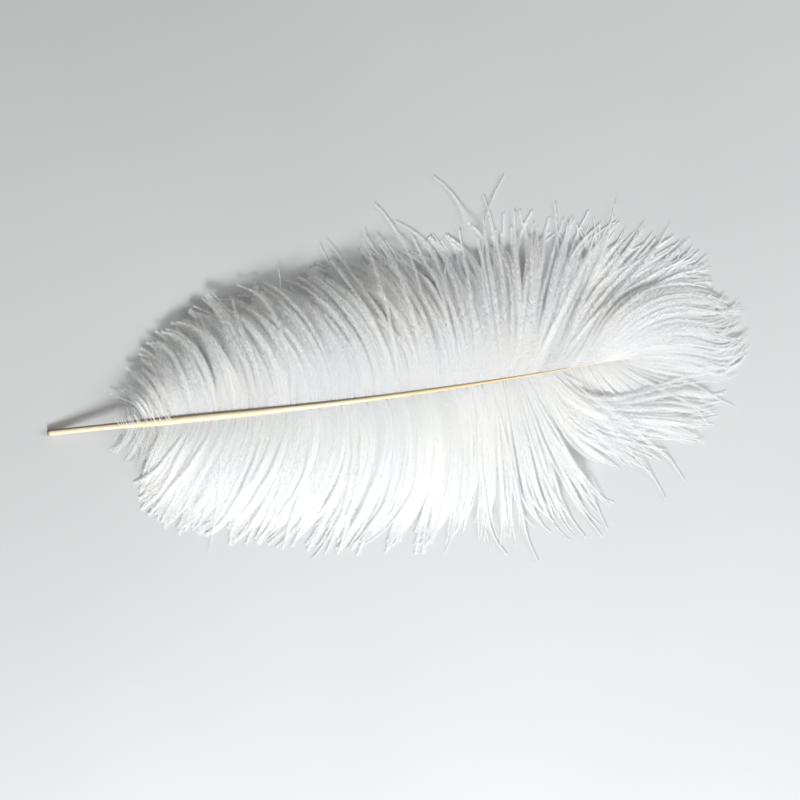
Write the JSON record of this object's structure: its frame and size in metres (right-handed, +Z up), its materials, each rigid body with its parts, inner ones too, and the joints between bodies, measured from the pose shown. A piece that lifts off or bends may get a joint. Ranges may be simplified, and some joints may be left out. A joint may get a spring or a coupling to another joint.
{
  "type": "ostrich feather",
  "caption": "White ostrich plume lying on a table: a long arched ivory shaft with wide, soft, loose vanes that droop round its tip.",
  "frame": {"origin": "middle of the plume's footprint, on the table that it lies on", "axes": "+X along the shaft from the cut quill end to the tip, +Y to the left vane, +Z up from the table"},
  "size_m": [0.5066, 0.2634, 0.0304],
  "materials": {
    "shaft_ivory": "smooth, slightly glossy keratin, cream to ivory",
    "barb_white": "soft white barbs with fine fluffy barbules",
    "down_white": "wispy white down"
  },
  "bodies": {
    "root": {"shaft": "shaft_ivory", "left_down": "down_white", "left_vane": "barb_white", "tip_plume": "barb_white", "right_vane": "barb_white", "right_down": "down_white"}
  },
  "joints": []
}
